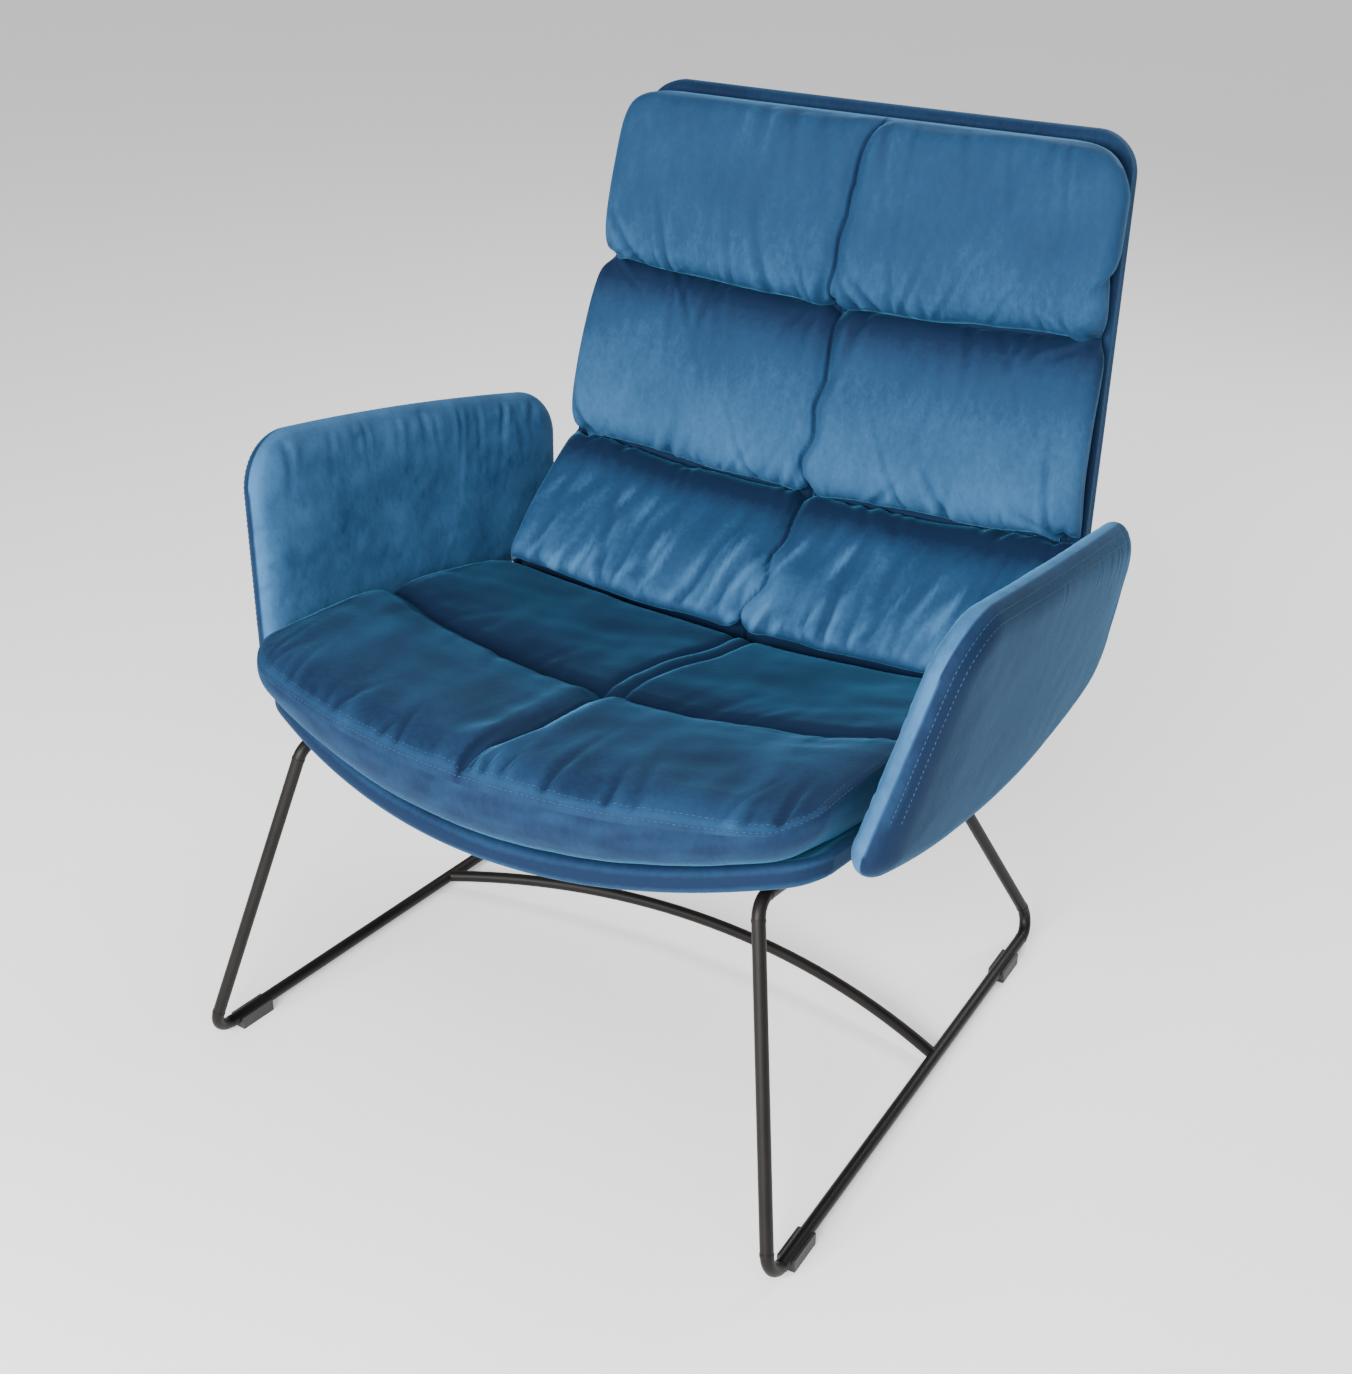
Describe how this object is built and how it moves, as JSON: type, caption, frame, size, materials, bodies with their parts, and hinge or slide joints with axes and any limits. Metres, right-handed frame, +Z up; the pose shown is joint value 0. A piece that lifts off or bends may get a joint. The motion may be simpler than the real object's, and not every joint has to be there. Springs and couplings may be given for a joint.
{
  "type": "upholstered armchair",
  "caption": "Low velvet lounge armchair: a padded bent shell with wing arms, a channelled back pad and a loose seat cushion, on a black wire sled base.",
  "frame": {"origin": "on the floor, at the middle of the chair's width and depth", "axes": "+Z up, -Y the way the sitter faces, +X to the sitter's left; the chair is the same on both sides of X = 0"},
  "size_m": [0.8902, 0.8735, 0.9456],
  "materials": {
    "base_steel": "satin powder coat",
    "glide_plastic": "matt",
    "screw_steel": "black oxide",
    "nut_steel": "zinc plated",
    "plywood": "raw moulded beech plywood",
    "foam": "open-cell foam",
    "shell_velvet": "velvet with a strong sheen",
    "pad_velvet": "velvet with a strong sheen",
    "cushion_velvet": "velvet with a strong sheen",
    "arm_velvet": "velvet with a strong sheen"
  },
  "bodies": {
    "chair": {"sled_left": "base_steel", "sled_right": "base_steel", "floor_crossbar": "base_steel", "front_strap": "base_steel", "rear_strap": "base_steel", "glide_front_left": "glide_plastic", "glide_front_right": "glide_plastic", "glide_rear_left": "glide_plastic", "glide_rear_right": "glide_plastic", "front_shell_screws": "screw_steel", "rear_shell_screws": "screw_steel", "shell_tee_nuts": "nut_steel", "shell_core": "plywood", "shell_inner_foam": "foam", "shell_outer_foam": "foam", "shell_inner_cover": "shell_velvet", "shell_outer_cover": "shell_velvet", "back_pad_filling": "foam", "back_pad_front_cover": "pad_velvet", "back_pad_rear_cover": "pad_velvet", "arm_core_left": "plywood", "arm_inner_foam_left": "foam", "arm_outer_foam_left": "foam", "arm_inner_cover_left": "arm_velvet", "arm_outer_cover_left": "arm_velvet", "arm_core_right": "plywood", "arm_inner_foam_right": "foam", "arm_outer_foam_right": "foam", "arm_inner_cover_right": "arm_velvet", "arm_outer_cover_right": "arm_velvet", "arm_bracket_left": "base_steel", "arm_bracket_right": "base_steel", "arm_screws_left": "screw_steel", "arm_screws_right": "screw_steel"},
    "seat_cushion": {"seat_cushion_filling": "foam", "seat_cushion_top_cover": "cushion_velvet", "seat_cushion_border_cover": "cushion_velvet"}
  },
  "joints": [
    {"name": "cushion_lift", "type": "slide", "parent": "chair", "child": "seat_cushion", "axis": [0, -0.2588, 0.9659], "range_m": [0, 0.25]}
  ]
}
